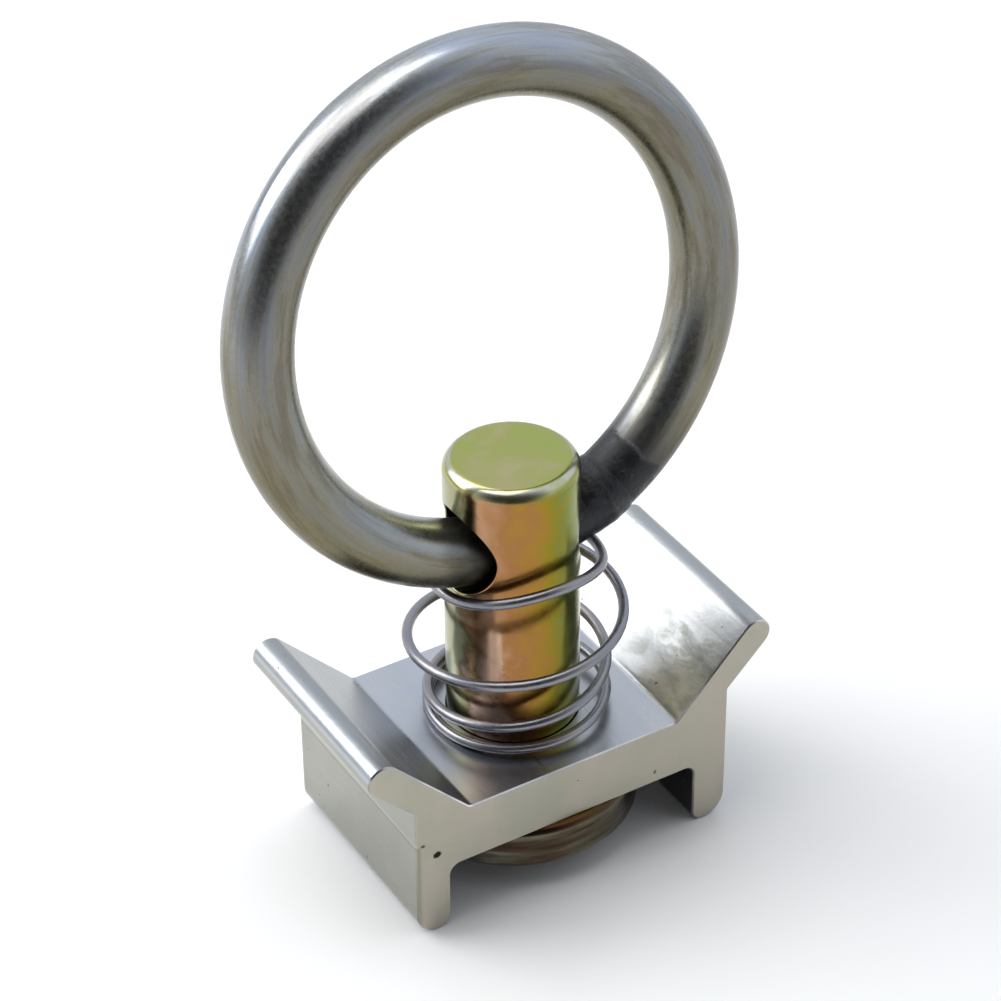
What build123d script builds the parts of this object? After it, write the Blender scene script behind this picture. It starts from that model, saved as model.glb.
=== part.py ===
from build123d import *
import math
import os

# Ring fitting for slotted cargo track: a headed stud, a ring through its eye, a barrel spring
# round its shank and a two-legged keeper that the spring holds down on the stud's foot.
# Millimetres. The origin is the centre of the foot's upper face, +Z runs up the shank,
# X runs along the track and Y is the direction in which the keeper's section is extruded.

# track that the fitting drops into
TRACK_PITCH = 25.4

# stud
SHANK_RADIUS = 5.25
SHANK_TOP = 28.8
SHANK_TOP_EDGE = 1.1
FOOT_RADIUS = 9.9
FOOT_THICKNESS = 3.55
FOOT_UPPER_EDGE = 0.7
FOOT_LOWER_EDGE = 0.4
EYE_HEIGHT = 22.0
EYE_RADIUS = 3.6
EYE_MOUTH_EDGE = 0.15

# keeper
WEB_THICKNESS = 5.25
KEEPER_LENGTH = 18.3
KEEPER_BORE_RADIUS = SHANK_RADIUS + 0.1
CREASE_X = 9.4
CREASE_FILLET = 0.6
WING_TIP_X = 16.7
WING_TIP_Z = 10.9
WING_TIP_RADIUS = 1.35
LEG_X = TRACK_PITCH / 2
LEG_THICKNESS = 3.0
LEG_BOTTOM_Z = -5.85
LEG_SHOULDER_Z = 6.55
LEG_ROOT_FILLET = 0.9
LEG_END_OUTER_FILLET = 1.9
LEG_END_INNER_FILLET = 1.0
SHOULDER_FILLET = 0.4
KEEPER_END_EDGE = 0.12

# ring
ROD_RADIUS = 2.65
RING_RADIUS = 19.0
ROD_CLEARANCE = 0.05
RING_DROP = EYE_RADIUS - ROD_RADIUS - ROD_CLEARANCE
RING_REST_TILT = 9.7

# weld that closes the ring, placed by its angle round the ring from the rod in the eye
WELD_ANGLE = 22.4
WELD_GAP_ANGLE = 6.0
WELD_BEAD_ANGLE = 11.0
WELD_BEAD_HEIGHT = 0.3
WELD_BEAD_EDGE = 0.22

# spring, whose turns are counted from its lower end
WIRE_RADIUS = 0.425
WIRE_CLEARANCE = 0.02
LOWER_COIL_RADIUS = 7.15
UPPER_COIL_RADIUS = 6.75
BELLY_RADIUS = 9.3
FIRST_TURN = 0.1
LAST_TURN = 4.12
CLOSED_TURNS = (0.55, 0.9)
ACTIVE_TURNS = (1.38, 3.5)
ACTIVE_HEIGHT = 12.0
BELLY_TURNS = (1.64, 3.22)
BELLY_SKEW = 1.6
END_ARCH_HEIGHT = 1.85
COIL_SIDE_PLAY = 0.35
STATIONS_PER_TURN = 16


def tangent_point(start, centre, radius, side):
    """Point where a line from start touches a circle, on its left (side 1) or right (side -1)."""
    dx = centre[0] - start[0]
    dz = centre[1] - start[1]
    distance = math.hypot(dx, dz)
    heading = math.atan2(dz, dx) + side * math.asin(radius / distance)
    reach = math.sqrt(distance**2 - radius**2)
    return start[0] + reach * math.cos(heading), start[1] + reach * math.sin(heading)


def progress(turn, limits):
    """Share of the way from the first limit to the second, held at 0 before and 1 after."""
    return min(1.0, max(0.0, (turn - limits[0]) / (limits[1] - limits[0])))


def make_stud():
    """Round shank with a domed top edge, a cross eye for the ring and a round foot."""
    shank = Cylinder(SHANK_RADIUS, SHANK_TOP, align=(Align.CENTER, Align.CENTER, Align.MIN))
    shank = fillet(shank.edges().group_by(Axis.Z)[-1], SHANK_TOP_EDGE)
    eye = Pos(0, 0, EYE_HEIGHT) * Rot(0, 90, 0) * Cylinder(EYE_RADIUS, 3 * SHANK_RADIUS)
    shank = shank - eye
    mouths = shank.edges().filter_by(GeomType.BSPLINE)
    shank = fillet(mouths, EYE_MOUTH_EDGE)
    foot = Cylinder(FOOT_RADIUS, FOOT_THICKNESS, align=(Align.CENTER, Align.CENTER, Align.MAX))
    foot = fillet(foot.edges().group_by(Axis.Z)[0], FOOT_LOWER_EDGE)
    foot = fillet(foot.edges().group_by(Axis.Z)[-1], FOOT_UPPER_EDGE)
    return shank + foot


def keeper_half_section():
    """Right half of the keeper's section, drawn in X and Z."""
    tip = (WING_TIP_X, WING_TIP_Z)
    inner_x = LEG_X - LEG_THICKNESS / 2
    outer_x = LEG_X + LEG_THICKNESS / 2
    crease = (CREASE_X, WEB_THICKNESS)
    shoulder = (outer_x, LEG_SHOULDER_Z)
    leg_outer = (outer_x, LEG_BOTTOM_Z)
    leg_inner = (inner_x, LEG_BOTTOM_Z)
    upper = tangent_point(crease, tip, WING_TIP_RADIUS, 1)
    lower = tangent_point(shoulder, tip, WING_TIP_RADIUS, -1)
    root = ((crease[0] + shoulder[0]) / 2, (crease[1] + shoulder[1]) / 2)
    wing_heading = math.atan2(tip[1] - root[1], tip[0] - root[0])
    far = (
        tip[0] + WING_TIP_RADIUS * math.cos(wing_heading),
        tip[1] + WING_TIP_RADIUS * math.sin(wing_heading),
    )
    with BuildSketch(Plane.XZ) as section:
        with BuildLine():
            Polyline((0, 0), (0, WEB_THICKNESS), crease, upper)
            ThreePointArc(upper, far, lower)
            Polyline(lower, shoulder, leg_outer, leg_inner, (inner_x, 0), (0, 0))
        make_face()
        fillet(corners_at(section, crease), CREASE_FILLET)
        fillet(corners_at(section, shoulder), SHOULDER_FILLET)
        fillet(corners_at(section, (inner_x, 0)), LEG_ROOT_FILLET)
        fillet(corners_at(section, leg_outer), LEG_END_OUTER_FILLET)
        fillet(corners_at(section, leg_inner), LEG_END_INNER_FILLET)
    return section.sketch


def corners_at(section, place):
    """Vertices of a sketch that lie at one place in its own plane."""
    return [
        v for v in section.vertices() if math.hypot(v.X - place[0], v.Y - place[1]) < 1e-4
    ]


def make_keeper():
    """Extruded plate with two legs below, two finger wings above and a bore for the shank."""
    half = extrude(keeper_half_section(), amount=KEEPER_LENGTH / 2, both=True)
    body = half + mirror(half, about=Plane.YZ)
    ends = body.faces().filter_by(Axis.Y)
    body = chamfer(ends.edges(), KEEPER_END_EDGE)
    bore = Cylinder(KEEPER_BORE_RADIUS, 4 * WEB_THICKNESS)
    return body - bore


def ring_arc(rod_radius, start, sweep):
    """Round rod bent about the ring's centre, from a start angle measured from its lowest point."""
    centre = Location((0, 0, EYE_HEIGHT - RING_DROP + RING_RADIUS))
    profile = Plane.XY * Pos(RING_RADIUS, 0) * Circle(rod_radius)
    arc = revolve(profile, Axis((0, 0, 0), (0, -1, 0)), revolution_arc=sweep)
    return centre * Rot(0, 90 - start, 0) * arc


def at_rest(shape):
    """Tilts a piece of the upright ring back about the eye's axis."""
    eye_axis = Axis((0, 0, EYE_HEIGHT), (1, 0, 0))
    return shape.rotate(eye_axis, -RING_REST_TILT)


def make_ring():
    """Bent rod whose ends leave a gap for the weld."""
    return at_rest(ring_arc(ROD_RADIUS, WELD_ANGLE + WELD_GAP_ANGLE / 2, 360 - WELD_GAP_ANGLE))


def make_ring_weld():
    """Weld that fills the gap and laps over both ends of the rod as a low bead."""
    start = WELD_ANGLE - WELD_BEAD_ANGLE / 2
    bead = ring_arc(ROD_RADIUS + WELD_BEAD_HEIGHT, start, WELD_BEAD_ANGLE)
    bead = fillet(bead.edges().filter_by(GeomType.CIRCLE), WELD_BEAD_EDGE)
    return at_rest(bead) - make_ring()


def spring_point(turn):
    """Centre of the wire after a number of turns from the lower end."""
    belly = progress(turn, BELLY_TURNS)
    end_radius = LOWER_COIL_RADIUS + (UPPER_COIL_RADIUS - LOWER_COIL_RADIUS) * belly
    swell = math.sin(math.pi * belly**BELLY_SKEW) ** 2
    radius = end_radius + (BELLY_RADIUS - end_radius) * swell
    seat = WEB_THICKNESS + WIRE_RADIUS + WIRE_CLEARANCE
    closed = 2 * (WIRE_RADIUS + WIRE_CLEARANCE) * progress(turn, CLOSED_TURNS)
    active = ACTIVE_HEIGHT * progress(turn, ACTIVE_TURNS)
    heading = 2 * math.pi * turn
    arch = END_ARCH_HEIGHT * math.sin(heading) ** 2 if turn > ACTIVE_TURNS[1] else 0
    x = COIL_SIDE_PLAY + radius * math.cos(heading)
    return x, radius * math.sin(heading), seat + closed + active + arch


def make_spring():
    """Barrel-shaped compression spring with a closed lower end."""
    count = round((LAST_TURN - FIRST_TURN) * STATIONS_PER_TURN)
    step = (LAST_TURN - FIRST_TURN) / count
    path = Spline(*[spring_point(FIRST_TURN + i * step) for i in range(count + 1)])
    wire_section = Plane(path @ 0, z_dir=path % 0) * Circle(WIRE_RADIUS)
    return sweep(wire_section, path=path)


def main():
    """Builds every piece and writes one file for each."""
    os.makedirs("parts", exist_ok=True)
    pieces = {
        "stud": make_stud(),
        "keeper": make_keeper(),
        "spring": make_spring(),
        "ring": make_ring(),
        "ring_weld": make_ring_weld(),
    }
    for name, piece in pieces.items():
        piece.label = name
        export_step(piece, f"parts/{name}.step")


main()
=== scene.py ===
import math

import bmesh
import bpy
from mathutils import Matrix, Vector, noise


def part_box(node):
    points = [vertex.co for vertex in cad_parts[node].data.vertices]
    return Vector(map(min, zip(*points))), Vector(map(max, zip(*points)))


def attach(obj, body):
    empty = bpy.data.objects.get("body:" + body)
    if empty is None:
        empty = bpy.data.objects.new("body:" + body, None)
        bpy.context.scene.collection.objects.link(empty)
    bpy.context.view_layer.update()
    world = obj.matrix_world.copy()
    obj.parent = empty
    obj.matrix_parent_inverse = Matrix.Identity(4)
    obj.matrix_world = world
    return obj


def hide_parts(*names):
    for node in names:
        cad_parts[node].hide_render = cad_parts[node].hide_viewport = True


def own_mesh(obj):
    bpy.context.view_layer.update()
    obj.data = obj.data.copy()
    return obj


# Looks for the cargo track ring fitting, in metres, in the row frame: the origin is the centre
# of the stud foot's upper face, +Z runs up the stud and X runs through the keeper's two legs.
# Colours are linear red, green and blue. A fade is the pair of values between which a mark
# comes in or goes out, and a depth is how far a bump map raises its surface.

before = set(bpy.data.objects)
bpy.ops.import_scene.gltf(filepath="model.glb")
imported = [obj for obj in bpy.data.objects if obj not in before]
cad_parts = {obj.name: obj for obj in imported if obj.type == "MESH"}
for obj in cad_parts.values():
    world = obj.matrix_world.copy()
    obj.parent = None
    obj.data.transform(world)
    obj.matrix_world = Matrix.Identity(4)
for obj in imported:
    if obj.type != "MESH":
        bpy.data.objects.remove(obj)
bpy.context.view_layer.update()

MM = 0.001

# camera, whose azimuth is counted from -Y toward +X
SENSOR_WIDTH = 36.0
LENS = 119.355
CAMERA_AZIMUTH = math.radians(-31.031)
CAMERA_ELEVATION = math.radians(35.837)
CAMERA_ROLL = math.radians(-0.521)
CAMERA_DISTANCE = 261.631 * MM
CAMERA_SHIFT_RIGHT = -0.835 * MM
CAMERA_SHIFT_UP = 15.721 * MM
CAMERA_AIM_HEIGHT = 5.25 * MM
CAMERA_CLIP_START = 10.0 * MM

# soft boxes: name, place, size across and power in watts
SOFT_BOXES = (
    ("overhead", (-0.10, 0.12, 0.60), 0.45, 1.5),
    ("back_left", (-0.36, 0.35, 0.36), 0.40, 1.9),
)
LIGHT_AIM = Vector((0, 0, 20.0 * MM))

# room
FLOOR_RADIUS = 4.0
FLOOR_SIDES = 96
FLOOR_COLOUR = (0.90, 0.885, 0.86)
FLOOR_ROUGHNESS = 0.75
ROOM_STRENGTH = 0.80
ROOM_DARK_SIDE = (0.07, 0.07, 0.075)
BACKDROP_COLOUR = (0.9, 0.9, 0.9)

# stud, whose colours are placed from the direction round it that faces the camera, some of them
# painted reflection
SHANK_RADIUS = 5.25 * MM
SHANK_TOP = 28.8 * MM
EYE_HEIGHT = 22.0 * MM
FACE_ANGLE = math.radians(-121.0)
TOP_COLOUR_FADE = (SHANK_TOP - 0.95 * MM, SHANK_TOP - 0.55 * MM)
# pale worn zinc round the top edge, partly a painted highlight along the rim
WORN_LIT_HEIGHT_FADE = (SHANK_TOP - 0.50 * MM, SHANK_TOP - 0.30 * MM)
WORN_LIT_RADIUS_FADE = (SHANK_RADIUS - 0.74 * MM, SHANK_RADIUS - 0.60 * MM)
FOOT_FADE = (-0.1 * MM, 0.1 * MM)
FOOT_BAND_STRETCH = 1.1 * MM
FOOT_BAND_DEPTH = 0.10 * MM
LATHE_DEPTH = 0.02 * MM
SMUDGE_DEPTH = 0.04 * MM
# painted highlight: pink mixed into one band of the shank's colours, low on its front
FLUSH_HIGHLIGHT_PHASE = 0.435
FLUSH_HIGHLIGHT_PHASE_FADE = (0.015, 0.05)
FLUSH_HIGHLIGHT_HEIGHT_FADE = (11.0 * MM, 15.5 * MM)
# painted highlight: a pale pink stripe low on the shank's front, between the coils, with less
# metal so that it shows bright
HIGHLIGHT_TURN = -0.044
HIGHLIGHT_TURN_FADE = (0.006, 0.024)
HIGHLIGHT_LOWER_FADE = (9.5 * MM, 11.5 * MM)
HIGHLIGHT_UPPER_FADE = (15.6 * MM, 16.6 * MM)
FLUSH_HIGHLIGHT_PINK = (0.82, 0.58, 0.45)
HIGHLIGHT_PINK = (0.96, 0.62, 0.42)
# pale worn zinc of the top edge, partly a painted highlight
WORN_LIT_ZINC = (0.52, 0.52, 0.44)
# dark red painted shade on the foot's upper face, under the keeper
FOOT_TOP_SHADE = (0.055, 0.018, 0.015)

# keeper
WEB_TOP = 5.25 * MM
CREASE_X = 9.4 * MM
KEEPER_HALF_LENGTH = 9.15 * MM
LEG_OUTER_X = 14.2 * MM
END_FACE_FADE = (KEEPER_HALF_LENGTH - 0.030 * MM, KEEPER_HALF_LENGTH - 0.005 * MM)
END_EDGE_FADE = (KEEPER_HALF_LENGTH - 0.14 * MM, KEEPER_HALF_LENGTH - 0.11 * MM)
OUTER_SIDE_FADE = (0.1 * MM - LEG_OUTER_X, 0.2 * MM - LEG_OUTER_X)
LEFT_HALF_FADE = (-1.0 * MM, 1.0 * MM)
DRAWN_DEPTH = 0.03 * MM
LINE_GREY = (0.34, 0.35, 0.37)

# line that the die left along the left leg, painted as a highlight over a line of shade, and the
# eased edge in front of it, painted as shade
DIE_LINE_HEIGHT = 3.2 * MM
OVER_LINE_FADE = (-0.05 * MM, 0.05 * MM)
PALE_LINE_RISE = 0.12 * MM
PALE_LINE_FADE = (0.03 * MM, 0.16 * MM)
DARK_LINE_RISE = -0.16 * MM
DARK_LINE_FADE = (0.03 * MM, 0.18 * MM)
EASED_WIDTH_FADE = (0.1 * MM - LEG_OUTER_X, 0.6 * MM - LEG_OUTER_X)
EASED_HEIGHT_FADE = (-0.3 * MM, 0.1 * MM)
FRONT_HALF_FADE = (0.0, 1.0 * MM)
SIDE_OVER_LINE = (0.41, 0.42, 0.375)
# painted highlight just over the die's line and painted shade just under it
DIE_LINE_HIGHLIGHT = (0.56, 0.56, 0.52)
DIE_LINE_SHADE = (0.22, 0.225, 0.20)
# painted shade in a strip up the front end's left edge
EASED_EDGE_SHADE = (0.22, 0.20, 0.155)

# marks on the keeper's wings, edges and channel, with painted highlights, reflection and shade
WING_FADE = (CREASE_X - 0.2 * MM, CREASE_X + 0.4 * MM)
WING_RUB_DEPTH = 0.09 * MM
# painted reflection of the spring and stud: dark olive clouds low on the wings' front, mostly on
# the right wing
REFLECTION_LENGTH_FADE = (-5.0 * MM, 2.0 * MM)
REFLECTION_HEIGHT_FADE = (9.4 * MM, 10.6 * MM)
# pale dull oxide near the crease at the wings' front, partly a painted highlight, with less metal
CHALK_HIGHLIGHT_WIDTH_FADE = (0.8 * MM, 3.6 * MM)
CHALK_HIGHLIGHT_LENGTH_FADE = (-8.4 * MM, -2.5 * MM)
SCRATCH_WIDTH_FADE = (0.0, 1.0 * MM)
SCRATCH_LENGTH_FADE = (-7.5 * MM, -1.5 * MM)
SCRATCH_LOWER_FADE = (7.0 * MM, 8.6 * MM)
SCRATCH_UPPER_FADE = (10.4 * MM, 11.2 * MM)
# painted shade in the channel under the web, between the legs
CHANNEL_HEIGHT_FADE = (-1.5 * MM, 0.0)
CHANNEL_WIDTH_FADE = (11.3 * MM, 11.6 * MM)
CHANNEL_LENGTH_FADE = (KEEPER_HALF_LENGTH - 0.3 * MM, KEEPER_HALF_LENGTH - 0.1 * MM)
LEFT_WING = (0.32, 0.33, 0.335)
RIGHT_WING = (0.355, 0.365, 0.365)
WING_REFLECTION = (0.17, 0.185, 0.14)
WING_CHALK_HIGHLIGHT = (0.80, 0.72, 0.50)
WING_SCRATCH = (0.20, 0.20, 0.215)
# painted shade on the upright end edges and painted highlight on the ones that face up
EDGE_SHADE = (0.20, 0.195, 0.165)
EDGE_HIGHLIGHT = (0.90, 0.90, 0.89)
CHANNEL_SHADE = (0.05, 0.048, 0.045)
PIT_BLACK = (0.015, 0.014, 0.013)

# specks in the keeper's front end: centre in mm, radius in mm and share of black
SPECKS = (((-13.58, -9.15, 3.15), 0.19, 0.8), ((-12.38, -9.15, 1.78), 0.37, 1.0))
SPECK_STRETCH = 0.8
SPECK_BLACK_PART = 0.6
SPECK_RAGGEDNESS = 0.3 * MM

# ring, whose angles are counted from its lowest point toward +X
RING_RADIUS = 19.0 * MM
RING_CENTRE_RISE = 18.1 * MM
RING_TILT = math.radians(9.7)
RING_DOWN = Vector((0, -math.sin(RING_TILT), -math.cos(RING_TILT)))
RING_CENTRE = Vector((0, 0, EYE_HEIGHT)) - RING_CENTRE_RISE * RING_DOWN
ROD_RADIUS = 2.65 * MM
SCALE_START_FADE = (math.radians(1.0), math.radians(4.0))
SCALE_END = math.radians(38.0)
SCALE_END_FADE = (SCALE_END - 0.015, SCALE_END + 0.015)
SCALE_METALLIC = 0.25
SCALE_DEPTH = 0.12 * MM
HEAT_FADE = (SCALE_END, SCALE_END + 0.16)
# dirt on the rod by the stud, partly painted shade where the rod goes into the stud
GRIME_AND_SHADE_START_FADE = (math.radians(-22.0), math.radians(-5.0))
GRIME_AND_SHADE_END_FADE = (0.5, 1.0)
# painted reflection: warmer low on the ring
WARM_REFLECTION_FADE = (0.9, 1.7)
PATINA_STREAK = (1.1 * MM, 9.0 * MM)
LINE_STREAK = (0.22 * MM, 7.0 * MM)
LINE_DEPTH = 0.05 * MM
GRAIN_DEPTH = 0.03 * MM
# warm tint of the painted reflection low on the ring
WARM_REFLECTION_TINT = (1.0, 0.97, 0.86)
DRAWN_LINE = (0.11, 0.105, 0.095)
# dark dirt by the stud, partly painted shade
RING_GRIME_AND_SHADE = (0.035, 0.032, 0.028)
HEAT_GREY = (0.10, 0.10, 0.11)
SCUFF_GREY = (0.10, 0.10, 0.105)

# weld bead, which sinks into the rod at both ends
WELD_MIDDLE = math.radians(22.4)
WELD_SWEEP = math.radians(11.0)
WELD_SINK = 0.05 * MM
WELD_RISE = 0.35 * MM
WELD_SHOULDER_POWER = 0.8
WELD_LUMPS = 0.7 / MM
WELD_LUMP_LEVEL = 0.8
WELD_LUMP_SPREAD = 0.5
WELD_RIPPLES = 150.0
WELD_DEPTH = 0.15 * MM
WELD_STATIONS = 40
WELD_SIDES = 96

# spring, whose turns are counted from its lower end
WIRE_RADIUS = 0.425 * MM
WIRE_CLEARANCE = 0.02 * MM
WIRE_END_CHAMFER = 0.3 * WIRE_RADIUS
LOWER_COIL_RADIUS = 7.15 * MM
UPPER_COIL_RADIUS = 6.75 * MM
BELLY_RADIUS = 9.3 * MM
FIRST_TURN = 0.1
LAST_TURN = 4.12
CLOSED_TURNS = (0.55, 0.9)
ACTIVE_TURNS = (1.38, 3.5)
ACTIVE_HEIGHT = 12.0 * MM
BELLY_TURNS = (1.64, 3.22)
BELLY_SKEW = 1.6
END_ARCH_HEIGHT = 1.85 * MM
COIL_SIDE_PLAY = 0.35 * MM
STATIONS_PER_TURN = 56
WIRE_SIDES = 20
EASING_ROUNDS = 6
BLACK_END_FADE = (0.965, 0.985)
WIRE_LINE_DEPTH = 0.02 * MM
WIRE_LINE = (0.24, 0.24, 0.26)
BLACK_END_WIRE = (0.03, 0.03, 0.03)


class Nodes:
    """Adds nodes to one node tree. Values are numbers, colours or other nodes' outputs."""

    def __init__(self, tree):
        self.tree = tree

    def node(self, kind, inputs=None, **settings):
        """Adds a node with its settings, then fills its inputs by socket name or number."""
        made = self.tree.nodes.new(kind)
        for key, value in settings.items():
            setattr(made, key, value)
        for key, value in (inputs or {}).items():
            self.put(made.inputs[key], value)
        return made

    def put(self, socket, value):
        """Sets a socket to a value, or links it to an output."""
        if isinstance(value, bpy.types.NodeSocket):
            self.tree.links.new(value, socket)
        else:
            socket.default_value = value

    def math(self, operation, a, b=0.0):
        """Result of one operation on one or two values."""
        return self.node("ShaderNodeMath", {0: a, 1: b}, operation=operation).outputs[0]

    def chain(self, operation, values):
        """Result of one operation taken through a row of values, from the left."""
        result = values[0]
        for value in values[1:]:
            result = self.math(operation, result, value)
        return result

    def plus(self, *values):
        """Sum of two or more values."""
        return self.chain("ADD", values)

    def minus(self, a, b):
        """The first value less the second."""
        return self.math("SUBTRACT", a, b)

    def times(self, *values):
        """Product of two or more values."""
        return self.chain("MULTIPLY", values)

    def without(self, share):
        """What a share leaves of 1."""
        return self.minus(1.0, share)

    def away(self, value, middle=0.0):
        """How far a value is from a middle one, on either side."""
        return self.math("ABSOLUTE", self.minus(value, middle))

    def root_of_squares(self, a, b):
        """Length of a line from its two parts at right angles."""
        return self.math("SQRT", self.plus(self.times(a, a), self.times(b, b)))

    def split(self, vector):
        """The x, y and z of a vector."""
        parts = self.node("ShaderNodeSeparateXYZ", {0: vector})
        return parts.outputs[0], parts.outputs[1], parts.outputs[2]

    def join(self, x, y, z):
        """Vector from its x, y and z."""
        return self.node("ShaderNodeCombineXYZ", {0: x, 1: y, 2: z}).outputs[0]

    def vector_math(self, operation, a, b):
        """Node that works on two vectors."""
        return self.node("ShaderNodeVectorMath", {0: a, 1: b}, operation=operation)

    def noise(self, vector, scale, detail=3.0, roughness=0.5, distortion=0.0, fourth=None):
        """Noise from 0 to 1, in three dimensions or in four."""
        inputs = {
            "Vector": vector,
            "Scale": scale,
            "Detail": detail,
            "Roughness": roughness,
            "Distortion": distortion,
        }
        if fourth is not None:
            inputs["W"] = fourth
        dimensions = "3D" if fourth is None else "4D"
        return self.node("ShaderNodeTexNoise", inputs, noise_dimensions=dimensions).outputs["Fac"]

    def span(self, value, low, high, start=0.0, end=1.0, smooth=True):
        """Maps low..high of a value to start..end, and holds it there outside."""
        inputs = {
            "Value": value,
            "From Min": low,
            "From Max": high,
            "To Min": start,
            "To Max": end,
        }
        ease = "SMOOTHSTEP" if smooth else "LINEAR"
        return self.node("ShaderNodeMapRange", inputs, interpolation_type=ease).outputs["Result"]

    def rise(self, value, low, high):
        """0 up to a low value and 1 from a high one."""
        return self.span(value, low, high)

    def fall(self, value, low, high):
        """1 up to a low value and 0 from a high one."""
        return self.span(value, low, high, 1.0, 0.0)

    def near(self, value, middle, inner, outer):
        """1 up to an inner distance from a middle value and 0 from an outer one."""
        return self.fall(self.away(value, middle), inner, outer)

    def ramp(self, value, stops):
        """Colour ramp from (position, colour) stops."""
        made = self.node("ShaderNodeValToRGB", {"Fac": value})
        ramp = made.color_ramp
        while len(ramp.elements) < len(stops):
            ramp.elements.new(1.0)
        for element, (position, colour) in zip(ramp.elements, stops):
            element.position = position
            element.color = (*colour, 1.0)
        return made.outputs["Color"]

    def mix(self, share, a, b, blend="MIX"):
        """Mixes two colours, from the first to the second."""
        made = self.node("ShaderNodeMix", {"Factor": share}, data_type="RGBA", blend_type=blend)
        for socket, value in ((made.inputs[6], a), (made.inputs[7], b)):
            self.put(socket, (*value, 1.0) if isinstance(value, tuple) else value)
        return made.outputs[2]

    def between(self, share, a, b):
        """Value that goes from the first to the second with the share."""
        return self.node("ShaderNodeMix", {"Factor": share, 2: a, 3: b}).outputs[0]

    def bump(self, height, strength, distance, under=None):
        """Normal bumped by a height, over another bumped normal if there is one."""
        inputs = {"Height": height, "Strength": strength, "Distance": distance}
        if under is not None:
            inputs["Normal"] = under
        return self.node("ShaderNodeBump", inputs).outputs["Normal"]


class Surface(Nodes):
    """Nodes of one material, which is metal unless finish says otherwise."""

    def __init__(self, name):
        self.material = bpy.data.materials.new(name)
        self.material.use_nodes = True
        super().__init__(self.material.node_tree)
        self.principled = self.tree.nodes["Principled BSDF"]
        self.principled.inputs["Metallic"].default_value = 1.0

    def place(self):
        """Place on the object at rest."""
        return self.node("ShaderNodeTexCoord").outputs["Object"]

    def facing_up(self):
        """How far the surface faces up at rest, from -1 to 1."""
        return self.split(self.node("ShaderNodeTexCoord").outputs["Normal"])[2]

    def finish(self, **values):
        """Puts values on the surface's sockets, whose names are written with _ for a space."""
        for name, value in values.items():
            self.put(self.principled.inputs[name.replace("_", " ")], value)
        return self.material


def shank_colour(s, z, turns, cloud, fine_cloud):
    """Interference colours round the shank, and the share of a painted pale pink highlight low on
    its front.
    """
    wander = s.plus(s.times(cloud, 0.20), s.times(fine_cloud, 0.08))
    phase = s.math("FRACT", s.plus(turns, wander, 0.36))
    # bands of interference colour round the shank; the dark band at 0.395 is partly a painted dark
    # reflection line and the pale pink band at 0.43 partly a painted highlight
    colour = s.ramp(
        phase,
        [
            (0.00, (0.30, 0.28, 0.10)),
            (0.12, (0.36, 0.25, 0.08)),
            (0.24, (0.36, 0.36, 0.22)),
            (0.36, (0.34, 0.34, 0.19)),
            (0.395, (0.22, 0.15, 0.07)),
            (0.43, (0.44, 0.25, 0.14)),
            (0.50, (0.35, 0.165, 0.06)),
            (0.555, (0.36, 0.20, 0.035)),
            (0.60, (0.29, 0.23, 0.02)),
            (0.66, (0.21, 0.24, 0.045)),
            (0.75, (0.30, 0.31, 0.16)),
            (0.88, (0.34, 0.22, 0.07)),
            (1.00, (0.30, 0.28, 0.10)),
        ],
    )
    # painted highlight: pink mixed into one band of colour, low on the shank's front
    pink_band_highlight = s.times(s.fall(z, *FLUSH_HIGHLIGHT_HEIGHT_FADE), s.near(phase, FLUSH_HIGHLIGHT_PHASE, *FLUSH_HIGHLIGHT_PHASE_FADE))
    colour = s.mix(s.times(pink_band_highlight, 0.8), colour, FLUSH_HIGHLIGHT_PINK)
    # painted highlight: a pale pink stripe low on the shank's front, between the coils
    pink_highlight = s.times(
        s.fall(z, *HIGHLIGHT_UPPER_FADE),
        s.rise(z, *HIGHLIGHT_LOWER_FADE),
        s.near(turns, HIGHLIGHT_TURN, *HIGHLIGHT_TURN_FADE),
        s.span(cloud, 0.25, 0.5, 0.7, 1.0),
    )
    return s.mix(pink_highlight, colour, HIGHLIGHT_PINK), pink_highlight


def foot_colour(s, bands):
    """Dark oxide in turned bands, with dark red painted shade on the foot's upper face, which lies
    under the keeper.
    """
    tarnish_and_reflection = s.ramp(
        bands,
        [
            (0.34, (0.045, 0.030, 0.024)),
            (0.48, (0.080, 0.062, 0.045)),
            (0.60, (0.13, 0.125, 0.09)),
            (0.74, (0.26, 0.26, 0.22)),
        ],
    )
    # painted shade: dark red on the foot's upper face, under the keeper
    return s.mix(s.span(s.facing_up(), 0.3, 0.8, 0.0, 0.9), tarnish_and_reflection, FOOT_TOP_SHADE)


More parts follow.
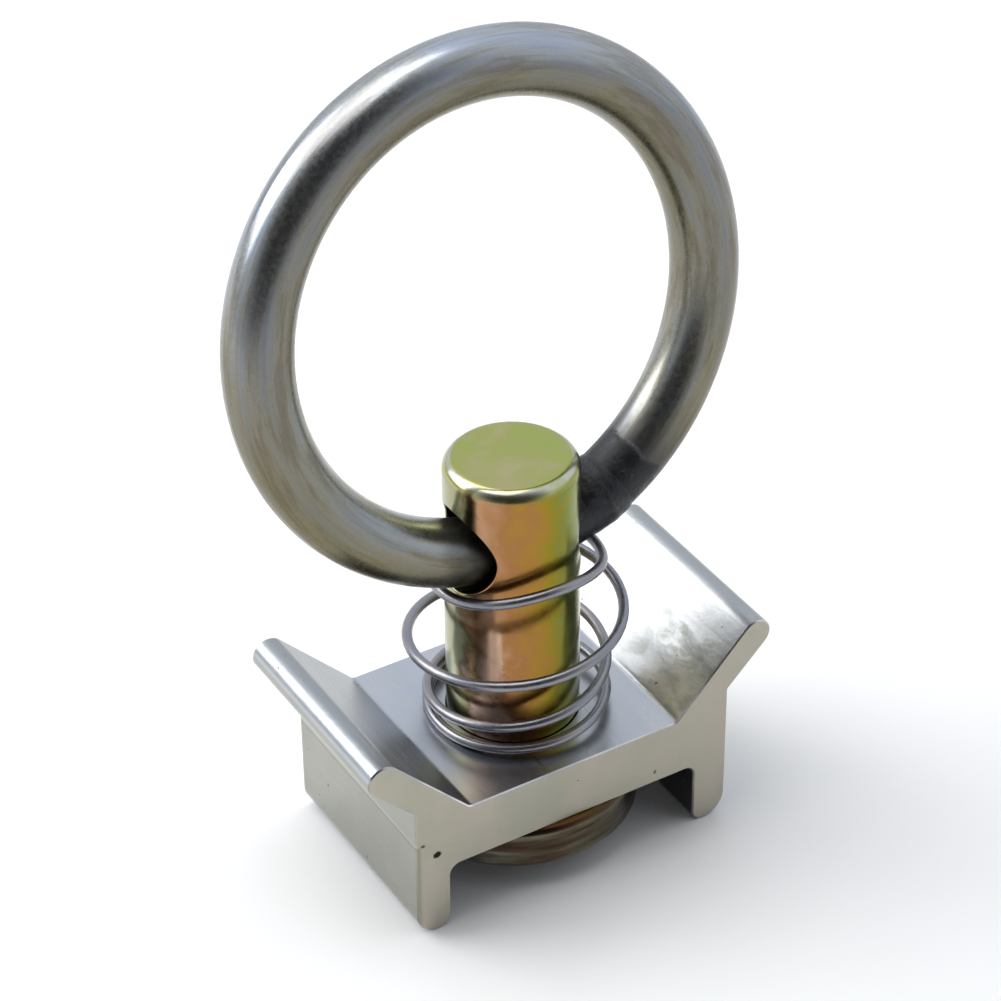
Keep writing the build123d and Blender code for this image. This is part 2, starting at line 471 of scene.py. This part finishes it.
def stud_material():
    """Yellow passivated zinc: a bright turned surface with patches of interference colour and
    painted highlights.
    """
    s = Surface("stud_plating")
    place = s.place()
    x, y, z = s.split(place)
    angle = s.math("ARCTAN2", y, x)
    turns = s.times(s.minus(angle, FACE_ANGLE), 0.5 / math.pi)
    radius = s.root_of_squares(x, y)
    cloud = s.noise(place, 190.0, detail=4.0, roughness=0.62, distortion=0.9)
    fine_cloud = s.noise(place, 620.0, detail=4.0, roughness=0.6)
    side, pink_highlight = shank_colour(s, z, turns, cloud, fine_cloud)

    top = s.ramp(
        s.noise(place, 210.0, detail=3.0, distortion=0.9),
        [
            (0.30, (0.33, 0.40, 0.10)),
            (0.48, (0.37, 0.38, 0.12)),
            (0.66, (0.43, 0.39, 0.19)),
        ],
    )
    colour = s.mix(s.rise(z, *TOP_COLOUR_FADE), side, top)
    # pale worn zinc round the top edge, partly a painted highlight along the rim
    worn_and_lit_edge = s.times(
        s.rise(z, *WORN_LIT_HEIGHT_FADE),
        s.rise(radius, *WORN_LIT_RADIUS_FADE),
        s.span(fine_cloud, 0.35, 0.6, 0.5, 0.95),
    )
    colour = s.mix(worn_and_lit_edge, colour, WORN_LIT_ZINC)

    foot = s.fall(z, *FOOT_FADE)
    turned = s.join(radius, z, s.times(s.math("COSINE", angle), FOOT_BAND_STRETCH))
    quarter_turn = s.times(s.math("SINE", angle), FOOT_BAND_STRETCH)
    bands = s.noise(turned, 1700.0, detail=3.0, roughness=0.55, fourth=quarter_turn)
    colour = s.mix(s.times(foot, 0.95), colour, foot_colour(s, bands))

    smudge = s.noise(place, 800.0, detail=5.0, roughness=0.65)
    lathe = s.noise(s.join(0.0, radius, z), 9000.0, detail=2.0)
    normal = s.bump(lathe, 0.08, LATHE_DEPTH)
    normal = s.bump(smudge, 0.09, SMUDGE_DEPTH, under=normal)
    normal = s.bump(bands, s.times(foot, 0.35), FOOT_BAND_DEPTH, under=normal)
    return s.finish(
        Base_Color=colour,
        Roughness=s.span(smudge, 0.3, 0.75, 0.15, 0.27),
        Normal=normal,
        # less metal under the painted pink highlight, so that it shows bright
        Metallic=s.without(s.times(pink_highlight, 0.6)),
    )


def ring_place(s):
    """Place on the ring: angle round it, distance from its centre and distance off its plane."""
    shifted = s.vector_math("SUBTRACT", s.place(), tuple(RING_CENTRE))
    upright = s.node(
        "ShaderNodeVectorRotate",
        {"Vector": shifted.outputs[0], "Angle": RING_TILT},
        rotation_type="X_AXIS",
    )
    x, off_plane, z = s.split(upright.outputs[0])
    around = s.math("ARCTAN2", x, s.times(z, -1.0))
    return around, s.root_of_squares(x, z), off_plane


def drawn_streaks(s, around, out, off_plane, width, length):
    """Noise drawn out along the bent rod, without a seam where the angle wraps."""
    share = RING_RADIUS * width / length
    vector = s.join(out, off_plane, s.times(s.math("COSINE", around), share))
    fourth = s.times(s.math("SINE", around), share)
    return s.noise(vector, 1.0 / width, detail=4.0, roughness=0.6, fourth=fourth)


def scale_look(s, place):
    """Colour, roughness and height of black weld scale."""
    crust = s.noise(place, 900.0, detail=6.0, roughness=0.68, distortion=0.5)
    flakes = s.noise(place, 420.0, detail=5.0, roughness=0.7, distortion=1.2)
    colour = s.ramp(
        crust,
        [
            (0.30, (0.006, 0.006, 0.008)),
            (0.60, (0.014, 0.014, 0.016)),
            (0.80, (0.040, 0.038, 0.038)),
        ],
    )
    scuffs = s.rise(flakes, 0.60, 0.72)
    colour = s.mix(s.times(scuffs, 0.55), colour, SCUFF_GREY)
    height = s.plus(crust, s.times(flakes, 0.8))
    return colour, s.span(crust, 0.3, 0.8, 0.30, 0.55), height


def plated_colour(s, around, patina, lines, grime_and_shade):
    """Zinc with painted reflection: bluer and lighter where it faces up, darker and olive where it
    faces down, warmer low on the ring; with a warm patina, drawn lines, and dirt that is partly
    painted shade.
    """
    # painted reflection: bluer and lighter where it faces up, darker and olive where it faces down
    colour = s.ramp(
        s.span(s.facing_up(), -1.0, 1.0, smooth=False),
        [
            (0.00, (0.18, 0.166, 0.12)),
            (0.38, (0.190, 0.180, 0.14)),
            (0.56, (0.225, 0.220, 0.20)),
            (0.74, (0.33, 0.35, 0.39)),
            (1.00, (0.40, 0.43, 0.50)),
        ],
    )
    shade = s.ramp(
        patina,
        [
            (0.30, (0.88, 0.93, 0.99)),
            (0.42, (0.97, 0.99, 1.00)),
            (0.50, (1.00, 0.97, 0.85)),
            (0.58, (0.80, 0.74, 0.60)),
            (0.68, (0.97, 0.86, 0.87)),
        ],
    )
    colour = s.mix(1.0, colour, shade, blend="MULTIPLY")
    # painted reflection: warmer low on the ring
    warm_reflection = s.fall(s.away(around), *WARM_REFLECTION_FADE)
    colour = s.mix(warm_reflection, colour, WARM_REFLECTION_TINT, blend="MULTIPLY")
    colour = s.mix(s.span(lines, 0.42, 0.70, 0.0, 0.26), colour, DRAWN_LINE)
    # dirt by the stud, partly painted shade where the rod goes into it
    return s.mix(s.times(grime_and_shade, 0.84), colour, RING_GRIME_AND_SHADE)


def ring_material():
    """Satin zinc on a bent rod, with black scale next to the weld."""
    s = Surface("ring_plating")
    place = s.place()
    around, out, off_plane = ring_place(s)
    patina = drawn_streaks(s, around, out, off_plane, *PATINA_STREAK)
    lines = drawn_streaks(s, around, out, off_plane, *LINE_STREAK)
    grain = s.noise(place, 2400.0, detail=2.0, roughness=0.5)
    ragged_angle = s.plus(around, s.times(s.noise(place, 420.0), 0.25))
    # dirt on the rod by the stud, partly painted shade where the rod goes into the stud
    grime_and_shade = s.times(s.rise(ragged_angle, *GRIME_AND_SHADE_START_FADE), s.fall(around, *GRIME_AND_SHADE_END_FADE))
    plated = plated_colour(s, around, patina, lines, grime_and_shade)

    black, black_roughness, crust = scale_look(s, place)
    ragged = s.plus(s.times(s.noise(place, 260.0), 0.22), s.times(crust, 0.06))
    edge = s.plus(around, s.minus(ragged, 0.14))
    past_start = s.rise(edge, *SCALE_START_FADE)
    scaled = s.times(past_start, s.fall(edge, *SCALE_END_FADE))
    heat = s.times(past_start, s.fall(edge, *HEAT_FADE))
    plated = s.mix(s.times(heat, 0.4), plated, HEAT_GREY)

    satin = s.plus(
        s.span(grain, 0.3, 0.7, 0.20, 0.27),
        s.times(grime_and_shade, 0.18),
        s.span(patina, 0.40, 0.65, 0.0, 0.07),
    )
    normal = s.bump(grain, 0.03, GRAIN_DEPTH)
    normal = s.bump(lines, 0.08, LINE_DEPTH, under=normal)
    normal = s.bump(s.times(s.plus(crust, 0.8), scaled), 0.6, SCALE_DEPTH, under=normal)
    return s.finish(
        Base_Color=s.mix(scaled, plated, black),
        Roughness=s.between(scaled, satin, black_roughness),
        Normal=normal,
        Metallic=s.span(scaled, 0.0, 1.0, 1.0, SCALE_METALLIC),
    )


def weld_material():
    """Black scale over a rippled bead."""
    s = Surface("weld_scale")
    place = s.place()
    around, _, _ = ring_place(s)
    colour, roughness, crust = scale_look(s, place)
    wander = s.times(s.noise(place, 300.0), 9.0)
    ripple = s.math("SINE", s.plus(s.times(around, WELD_RIPPLES), wander))
    return s.finish(
        Base_Color=colour,
        Roughness=roughness,
        Normal=s.bump(s.plus(crust, s.times(ripple, 0.07)), 0.8, WELD_DEPTH),
        Metallic=SCALE_METALLIC,
    )


def spring_material():
    """Bright drawn wire, its upper end darkened to black."""
    s = Surface("spring_wire")
    uv = s.node("ShaderNodeUVMap", uv_map="wire").outputs[0]
    along, around, _ = s.split(uv)
    lines = s.noise(s.join(s.times(along, 30.0), around, 0.0), 14.0, detail=3.0)
    cloud = s.noise(s.place(), 240.0, detail=3.0)
    colour = s.ramp(cloud, [(0.35, (0.25, 0.253, 0.28)), (0.65, (0.305, 0.29, 0.297))])
    colour = s.mix(s.span(lines, 0.4, 0.75, 0.0, 0.12), colour, WIRE_LINE)
    black_end = s.rise(along, *BLACK_END_FADE)
    colour = s.mix(s.times(black_end, 0.85), colour, BLACK_END_WIRE)
    return s.finish(
        Base_Color=colour,
        Roughness=s.span(lines, 0.3, 0.7, 0.27, 0.36),
        Normal=s.bump(lines, 0.05, WIRE_LINE_DEPTH),
    )


def leg_side_colour(s, x, z, cloud, upright):
    """Colour of the keeper's upright faces, lighter above the die's line along the left leg, with
    the line painted as a highlight over a line of shade.
    """
    colour = s.ramp(cloud, [(0.32, (0.325, 0.335, 0.295)), (0.66, (0.385, 0.38, 0.34))])
    outer_side = s.times(upright, s.fall(x, *OUTER_SIDE_FADE))
    off_line = s.minus(z, DIE_LINE_HEIGHT)
    over_line = s.rise(off_line, *OVER_LINE_FADE)
    pale_line = s.near(off_line, PALE_LINE_RISE, *PALE_LINE_FADE)
    dark_line = s.near(off_line, DARK_LINE_RISE, *DARK_LINE_FADE)
    colour = s.mix(s.times(outer_side, over_line, 0.5), colour, SIDE_OVER_LINE)
    # painted highlight just over the die's line and painted shade just under it
    colour = s.mix(s.times(outer_side, pale_line, 0.55), colour, DIE_LINE_HIGHLIGHT)
    return s.mix(s.times(outer_side, dark_line, 0.45), colour, DIE_LINE_SHADE)


def sawn_end_colour(s, place, x, y, z):
    """Colour of the keeper's ends, with a strip of painted shade up the front one's left edge."""
    colour = s.ramp(
        s.noise(place, 190.0, detail=4.0, distortion=0.5),
        [(0.34, (0.43, 0.42, 0.34)), (0.66, (0.50, 0.455, 0.385))],
    )
    # painted shade in a strip up the front end's left edge, below the die's line
    eased = s.times(
        s.fall(x, *EASED_WIDTH_FADE),
        s.fall(s.minus(z, DIE_LINE_HEIGHT), *EASED_HEIGHT_FADE),
        s.fall(y, *FRONT_HALF_FADE),
    )
    return s.mix(s.times(eased, 0.55), colour, EASED_EDGE_SHADE)


def wing_marks(s, x, y, z, wing, rubbed, broad_rub):
    """Shares of painted reflection, of pale dull oxide that is partly a painted highlight, and of
    scratches on the wings' upper faces.
    """
    # painted reflection of the spring and stud: dark olive clouds low on the wings' front
    tarnish_and_reflection = s.times(
        wing,
        s.rise(s.plus(s.times(rubbed, 0.65), s.times(broad_rub, 0.35)), 0.43, 0.60),
        s.span(y, *REFLECTION_LENGTH_FADE, 1.0, 0.1),
        s.span(z, *REFLECTION_HEIGHT_FADE, 1.0, 0.15),
        s.span(x, *LEFT_HALF_FADE, 0.35, 1.0),
    )
    # pale dull oxide near the crease at the wings' front, partly a painted highlight
    chalk_and_highlight = s.times(
        wing,
        s.near(x, CREASE_X, *CHALK_HIGHLIGHT_WIDTH_FADE),
        s.fall(y, *CHALK_HIGHLIGHT_LENGTH_FADE),
        s.span(rubbed, 0.35, 0.60, 1.0, 0.55),
    )
    drawn_out = s.join(x, s.times(y, 0.05), z)
    scratches = s.times(
        wing,
        s.rise(s.noise(drawn_out, 1300.0, detail=3.0), 0.50, 0.62),
        s.rise(x, *SCRATCH_WIDTH_FADE),
        s.fall(y, *SCRATCH_LENGTH_FADE),
        s.rise(z, *SCRATCH_LOWER_FADE),
        s.fall(z, *SCRATCH_UPPER_FADE),
    )
    return tarnish_and_reflection, chalk_and_highlight, scratches


def black_share(s, place, x, y, z):
    """Share of black in the fine pits all over the keeper and the specks in its front end."""
    share = s.times(s.rise(s.noise(place, 1300.0, detail=1.0), 0.785, 0.80), 0.7)
    flattened = s.join(s.times(x, SPECK_STRETCH), y, z)
    for centre, radius, depth in SPECKS:
        centre = (SPECK_STRETCH * centre[0] * MM, centre[1] * MM, centre[2] * MM)
        offset = s.vector_math("DISTANCE", flattened, centre).outputs["Value"]
        ragged = s.times(s.minus(s.noise(place, 2500.0), 0.5), SPECK_RAGGEDNESS)
        black_radius = SPECK_BLACK_PART * radius * MM
        speck = s.span(s.plus(offset, ragged), black_radius, radius * MM, depth, 0.0)
        share = s.math("MAXIMUM", share, speck)
    return share


def keeper_material():
    """Satin drawn bar: fine lines along its length, sawn ends and rubbed wings, with painted light
    and shade on its edges, wings, left leg and channel.
    """
    s = Surface("keeper_metal")
    place = s.place()
    x, y, z = s.split(place)
    facing_up = s.facing_up()
    drawn = s.join(x, s.times(y, 0.03), z)
    lines = s.noise(drawn, 2600.0, detail=4.0, roughness=0.65)
    broad_lines = s.noise(drawn, 520.0, detail=3.0)
    cloud = s.noise(place, 140.0, detail=4.0, distortion=0.8)
    colour = s.ramp(cloud, [(0.32, (0.44, 0.465, 0.51)), (0.66, (0.49, 0.495, 0.505))])
    colour = s.mix(s.span(broad_lines, 0.45, 0.75, 0.0, 0.07), colour, LINE_GREY)
    upright = s.fall(s.away(facing_up), 0.10, 0.35)
    colour = s.mix(upright, colour, leg_side_colour(s, x, z, cloud, upright))

    off_middle = s.away(x)
    off_end = s.away(y)
    end_face = s.rise(off_end, *END_FACE_FADE)
    colour = s.mix(end_face, colour, sawn_end_colour(s, place, x, y, z))

    wing = s.times(
        s.rise(off_middle, *WING_FADE),
        s.rise(facing_up, 0.35, 0.6),
        s.without(end_face),
    )
    streaked = s.join(x, s.times(y, 0.55), z)
    rubbed = s.noise(streaked, 900.0, detail=5.0, roughness=0.62, distortion=0.25)
    broad_rub = s.noise(streaked, 260.0, detail=2.0)
    tarnish_and_reflection, chalk_and_highlight, scratches = wing_marks(s, x, y, z, wing, rubbed, broad_rub)
    wing_colour = s.mix(s.rise(x, *LEFT_HALF_FADE), LEFT_WING, RIGHT_WING)
    colour = s.mix(s.times(wing, 0.85), colour, wing_colour)
    # painted reflection of the spring and stud on the wings
    colour = s.mix(s.times(tarnish_and_reflection, 0.62), colour, WING_REFLECTION)
    # pale dull oxide, partly a painted highlight
    colour = s.mix(s.times(chalk_and_highlight, 0.8), colour, WING_CHALK_HIGHLIGHT)
    colour = s.mix(s.times(scratches, 0.55), colour, WING_SCRATCH)

    # painted highlight along the end edges that face up and painted shade along the upright ones,
    # broken up along their length
    edge = s.times(s.rise(off_end, *END_EDGE_FADE), s.without(end_face))
    broken = s.span(s.noise(place, 170.0, detail=3.0), 0.40, 0.62, 0.15, 0.85)
    edge_light_and_shade = s.mix(s.rise(facing_up, 0.12, 0.40), EDGE_SHADE, EDGE_HIGHLIGHT)
    colour = s.mix(s.times(edge, broken), colour, edge_light_and_shade)
    # painted shade: darker in the channel under the web, between the legs
    channel = s.times(
        s.fall(z, *CHANNEL_HEIGHT_FADE),
        s.fall(off_middle, *CHANNEL_WIDTH_FADE),
        s.fall(off_end, *CHANNEL_LENGTH_FADE),
    )
    colour = s.mix(s.times(channel, 0.8), colour, CHANNEL_SHADE)
    colour = s.mix(black_share(s, place, x, y, z), colour, PIT_BLACK)

    satin = s.span(lines, 0.3, 0.7, 0.27, 0.33)
    sawn = s.noise(s.join(s.times(x, 0.06), y, z), 3000.0, detail=4.0)
    normal = s.bump(s.between(end_face, lines, sawn), 0.045, DRAWN_DEPTH)
    rub_strength = s.span(wing, 0.0, 1.0, 0.02, 0.34)
    normal = s.bump(rubbed, rub_strength, WING_RUB_DEPTH, under=normal)
    return s.finish(
        Base_Color=colour,
        Roughness=s.plus(satin, s.times(tarnish_and_reflection, 0.08), s.times(end_face, 0.10)),
        Normal=normal,
        # less metal under the pale oxide and painted highlight
        Metallic=s.without(s.times(chalk_and_highlight, 0.9)),
    )


def progress(turn, limits):
    """Share of the way from the first limit to the second, held at 0 before and 1 after."""
    return min(1.0, max(0.0, (turn - limits[0]) / (limits[1] - limits[0])))


def spring_point(turn):
    """Centre of the wire after a number of turns from the lower end."""
    belly = progress(turn, BELLY_TURNS)
    end_radius = LOWER_COIL_RADIUS + (UPPER_COIL_RADIUS - LOWER_COIL_RADIUS) * belly
    swell = math.sin(math.pi * belly**BELLY_SKEW) ** 2
    radius = end_radius + (BELLY_RADIUS - end_radius) * swell
    seat = WEB_TOP + WIRE_RADIUS + WIRE_CLEARANCE
    closed = 2 * (WIRE_RADIUS + WIRE_CLEARANCE) * progress(turn, CLOSED_TURNS)
    active = ACTIVE_HEIGHT * progress(turn, ACTIVE_TURNS)
    heading = 2 * math.pi * turn
    arch = END_ARCH_HEIGHT * math.sin(heading) ** 2 if turn > ACTIVE_TURNS[1] else 0.0
    x = COIL_SIDE_PLAY + radius * math.cos(heading)
    return Vector((x, radius * math.sin(heading), seat + closed + active + arch))


def smoothed(points, rounds):
    """Points with their corners eased, ends kept."""
    for _ in range(rounds):
        inner = [(a + 2 * b + c) / 4 for a, b, c in zip(points, points[1:], points[2:])]
        points = [points[0], *inner, points[-1]]
    return points


def loft(name, rings, along):
    """Closed skin through rings of points, with a UV map of length and angle."""
    mesh = bpy.data.meshes.new(name)
    build = bmesh.new()
    layer = build.loops.layers.uv.new("wire")
    sides = len(rings[0])
    made = [[build.verts.new(point) for point in ring] for ring in rings]
    for row in range(len(made) - 1):
        for side in range(sides):
            corners = ((row, side), (row, side + 1), (row + 1, side + 1), (row + 1, side))
            face = build.faces.new([made[r][c % sides] for r, c in corners])
            face.smooth = True
            for loop, (r, c) in zip(face.loops, corners):
                loop[layer].uv = (along[r], c / sides)
    build.faces.new(list(reversed(made[0])))
    build.faces.new(made[-1])
    bmesh.ops.recalc_face_normals(build, faces=build.faces)
    build.to_mesh(mesh)
    build.free()
    piece = bpy.data.objects.new(name, mesh)
    bpy.context.scene.collection.objects.link(piece)
    return piece


def circle(centre, first, second, radius, sides):
    """Points of a circle, counted from its first direction toward its second."""
    turns = [2 * math.pi * side / sides for side in range(sides)]
    return [centre + radius * (math.cos(turn) * first + math.sin(turn) * second) for turn in turns]


def wire(name, points):
    """Round wire along points, with chamfered ends."""
    last = len(points) - 1
    tangents = [
        (points[min(i + 1, last)] - points[max(i - 1, 0)]).normalized() for i in range(last + 1)
    ]
    end_radius = WIRE_RADIUS - WIRE_END_CHAMFER
    insets = {0: WIRE_END_CHAMFER, last: -WIRE_END_CHAMFER}
    stations = [(points[0], tangents[0], end_radius, 0.0)]
    for i, (point, tangent) in enumerate(zip(points, tangents)):
        stations.append((point + insets.get(i, 0.0) * tangent, tangent, WIRE_RADIUS, i / last))
    stations.append((points[-1], tangents[-1], end_radius, 1.0))
    across = tangents[0].orthogonal().normalized()
    rings = []
    for point, tangent, radius, _ in stations:
        across = (across - across.dot(tangent) * tangent).normalized()
        rings.append(circle(point, across, tangent.cross(across), radius, WIRE_SIDES))
    return loft(name, rings, [station[3] for station in stations])


def make_spring():
    """The coil spring, wound from round wire in place of the CAD node."""
    count = round((LAST_TURN - FIRST_TURN) * STATIONS_PER_TURN)
    step = (LAST_TURN - FIRST_TURN) / count
    points = [spring_point(FIRST_TURN + i * step) for i in range(count + 1)]
    spring = wire("coil_spring", smoothed(points, EASING_ROUNDS))
    spring.data.materials.append(spring_material())
    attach(spring, "spring")
    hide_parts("spring")
    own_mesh(spring)


def make_weld():
    """Lumpy bead of weld round the rod, where the ring is closed."""
    off_plane = Vector((0, math.cos(RING_TILT), -math.sin(RING_TILT)))
    shares = [i / WELD_STATIONS for i in range(WELD_STATIONS + 1)]
    rings = []
    for share in shares:
        angle = WELD_MIDDLE + (share - 0.5) * WELD_SWEEP
        out = math.cos(angle) * RING_DOWN + math.sin(angle) * Vector((1, 0, 0))
        middle = RING_CENTRE + RING_RADIUS * out
        swell = WELD_RISE * math.sin(math.pi * share) ** WELD_SHOULDER_POWER
        ring = []
        for point in circle(middle, out, off_plane, ROD_RADIUS, WELD_SIDES):
            lump = WELD_LUMP_LEVEL + WELD_LUMP_SPREAD * noise.noise(point * WELD_LUMPS)
            rise = swell * min(1.0, lump) - WELD_SINK
            ring.append(point + rise * (point - middle).normalized())
        rings.append(ring)
    weld = loft("weld_bead", rings, shares)
    weld.data.materials.append(weld_material())
    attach(weld, "ring")
    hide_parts("ring_weld")


def dress(node, material):
    """Gives a CAD node its finished material."""
    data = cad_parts[node].data
    data.materials.clear()
    data.materials.append(material)


def make_floor(height):
    """Plain pale floor under the object."""
    bpy.ops.mesh.primitive_circle_add(
        vertices=FLOOR_SIDES, radius=FLOOR_RADIUS, fill_type="NGON", location=(0, 0, height)
    )
    floor = bpy.context.object
    floor.name = "floor"
    material = Surface("pale_floor").finish(
        Base_Color=(*FLOOR_COLOUR, 1.0), Roughness=FLOOR_ROUGHNESS, Metallic=0.0
    )
    floor.data.materials.append(material)


def camera_axes():
    """Right, up and back directions of the camera before it is rolled."""
    cos_e = math.cos(CAMERA_ELEVATION)
    back = Vector(
        (
            math.sin(CAMERA_AZIMUTH) * cos_e,
            -math.cos(CAMERA_AZIMUTH) * cos_e,
            math.sin(CAMERA_ELEVATION),
        )
    )
    right = Vector((math.cos(CAMERA_AZIMUTH), math.sin(CAMERA_AZIMUTH), 0.0))
    return right, back.cross(right), back


def make_camera():
    """Camera that looks down on the fitting from the front left."""
    right, up, back = camera_axes()
    aim = Vector((0, 0, CAMERA_AIM_HEIGHT))
    eye = aim + right * CAMERA_SHIFT_RIGHT + up * CAMERA_SHIFT_UP + back * CAMERA_DISTANCE
    cos_r = math.cos(CAMERA_ROLL)
    sin_r = math.sin(CAMERA_ROLL)
    rolled_right = right * cos_r + up * sin_r
    rolled_up = up * cos_r - right * sin_r
    data = bpy.data.cameras.new("camera")
    data.sensor_fit = "HORIZONTAL"
    data.sensor_width = SENSOR_WIDTH
    data.lens = LENS
    data.clip_start = CAMERA_CLIP_START
    camera = bpy.data.objects.new("camera", data)
    bpy.context.scene.collection.objects.link(camera)
    turned = Matrix((rolled_right, rolled_up, back)).transposed().to_4x4()
    camera.matrix_world = Matrix.Translation(eye) @ turned
    bpy.context.scene.camera = camera


def make_soft_box(name, place, size, power):
    """Square soft light that faces the object."""
    data = bpy.data.lights.new(name, "AREA")
    data.size = size
    data.energy = power
    light = bpy.data.objects.new(name, data)
    bpy.context.scene.collection.objects.link(light)
    light.location = place
    light.rotation_euler = (LIGHT_AIM - Vector(place)).to_track_quat("-Z", "Y").to_euler()


def make_room():
    """Pale room with one dark side, behind the camera."""
    world = bpy.context.scene.world or bpy.data.worlds.new("room")
    bpy.context.scene.world = world
    world.use_nodes = True
    s = Nodes(world.node_tree)
    s.tree.nodes.clear()
    way = s.node("ShaderNodeTexCoord").outputs["Generated"]
    _, _, back = camera_axes()
    toward_camera = s.vector_math("DOT_PRODUCT", way, tuple(back)).outputs["Value"]
    sky = s.ramp(
        s.span(s.split(way)[2], -0.1, 1.0, smooth=False),
        [(0.0, (0.82, 0.82, 0.82)), (0.35, (1.08, 1.16, 1.29)), (1.0, (1.22, 1.28, 1.38))],
    )
    lit = s.mix(s.rise(toward_camera, 0.45, 0.93), sky, ROOM_DARK_SIDE)
    room = s.node("ShaderNodeBackground", {"Color": lit, "Strength": ROOM_STRENGTH})
    plain = s.node("ShaderNodeBackground", {"Color": (*BACKDROP_COLOUR, 1.0), "Strength": 1.0})
    seen = s.node("ShaderNodeLightPath").outputs["Is Camera Ray"]
    both = s.node("ShaderNodeMixShader", {0: seen, 1: room.outputs[0], 2: plain.outputs[0]})
    s.node("ShaderNodeOutputWorld", {"Surface": both.outputs[0]})
    bpy.context.scene.view_settings.view_transform = "Standard"


dress("stud", stud_material())
dress("keeper", keeper_material())
dress("ring", ring_material())
make_weld()
make_spring()

make_floor(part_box("keeper")[0].z)
make_camera()
make_room()
for name, place, size, power in SOFT_BOXES:
    make_soft_box(name, place, size, power)
